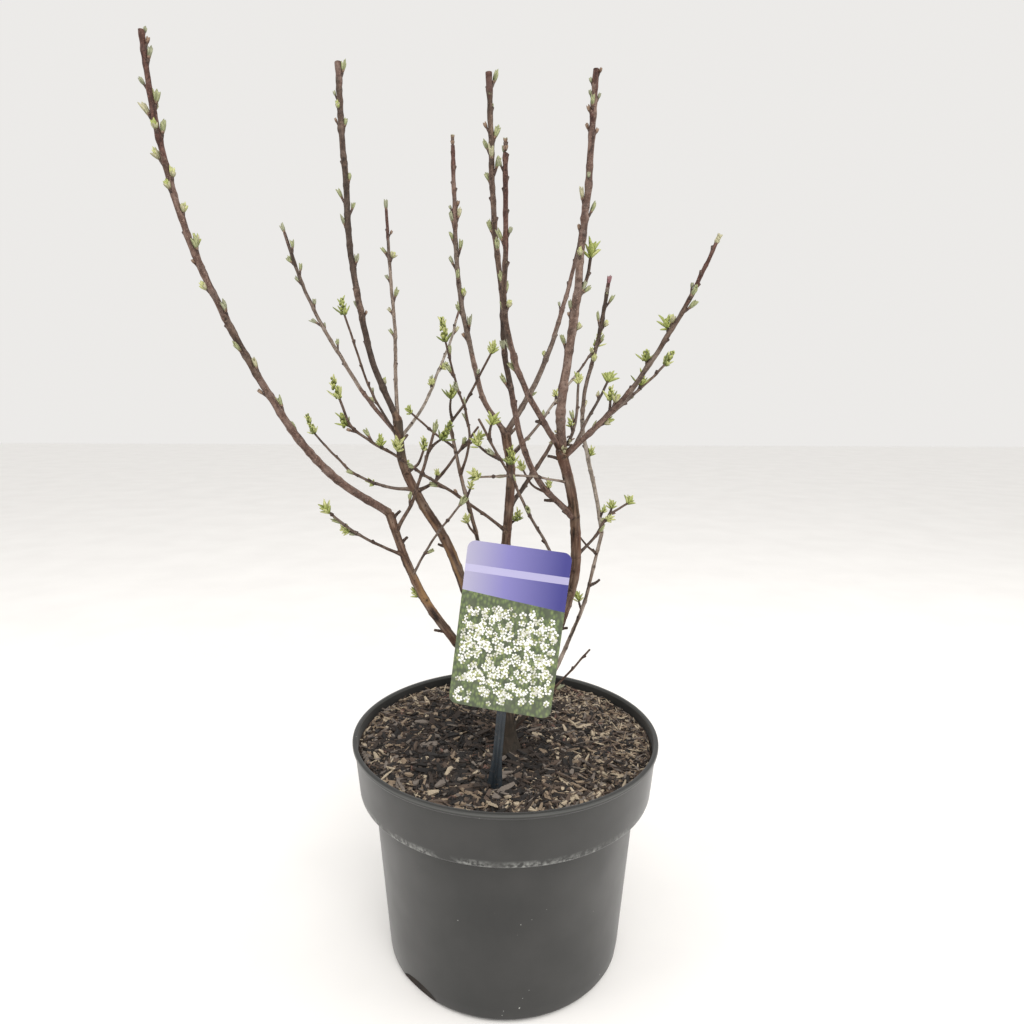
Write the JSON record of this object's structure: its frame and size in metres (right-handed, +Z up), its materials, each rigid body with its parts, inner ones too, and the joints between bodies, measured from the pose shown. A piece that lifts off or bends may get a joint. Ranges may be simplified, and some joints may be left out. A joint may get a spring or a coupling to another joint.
{
  "type": "potted pearl bush",
  "caption": "Nearly bare many-stemmed flowering shrub with its first leaf tufts, in a round nursery pot with a collar, a soil top and a picture label on a stake.",
  "frame": {"origin": "middle of the pot's flat underside", "axes": "+Z up along the plant, +Y to the back, the label faces -Y"},
  "size_m": [0.3412, 0.2584, 0.7294],
  "materials": {
    "pot": "satin charcoal plastic with scuffs",
    "soil": "bark mulch",
    "bark": "smooth brown bark",
    "twigs": "thin brown bark with green buds",
    "label_stake": "satin dark plastic",
    "label_card": "printed card"
  },
  "bodies": {
    "root": {"pot": "pot", "soil": "soil", "label_stake": "label_stake", "label_card": "label_card", "trunk": "bark", "bough_left": "bark", "bough_inner": "bark", "bough_centre": "bark", "bough_right": "bark", "bough_slim": "bark", "bough_rear": "bark", "twigs_left_whip": "twigs", "twigs_left_upright": "twigs", "twigs_left_low": "twigs", "twigs_left_fine": "twigs", "twigs_inner_whip": "twigs", "twigs_inner_dark": "twigs", "twigs_inner_outer": "twigs", "twigs_inner_pale": "twigs", "twigs_inner_low": "twigs", "twigs_inner_broken": "twigs", "twigs_inner_spur": "twigs", "twigs_slim_top": "twigs", "twigs_slim_side": "twigs", "twigs_slim_front": "twigs", "twigs_slim_low": "twigs", "twigs_centre_long": "twigs", "twigs_centre_left": "twigs", "twigs_centre_right": "twigs", "twigs_centre_pale": "twigs", "twigs_centre_dark": "twigs", "twigs_right_whip": "twigs", "twigs_right_front": "twigs", "twigs_right_cross": "twigs", "twigs_right_short": "twigs", "twigs_right_arm": "twigs", "twigs_right_level": "twigs", "twigs_right_hook": "twigs", "twigs_right_low": "twigs", "twigs_rear_top": "twigs", "twigs_rear_side": "twigs", "twigs_low_shoot": "twigs"}
  },
  "joints": []
}
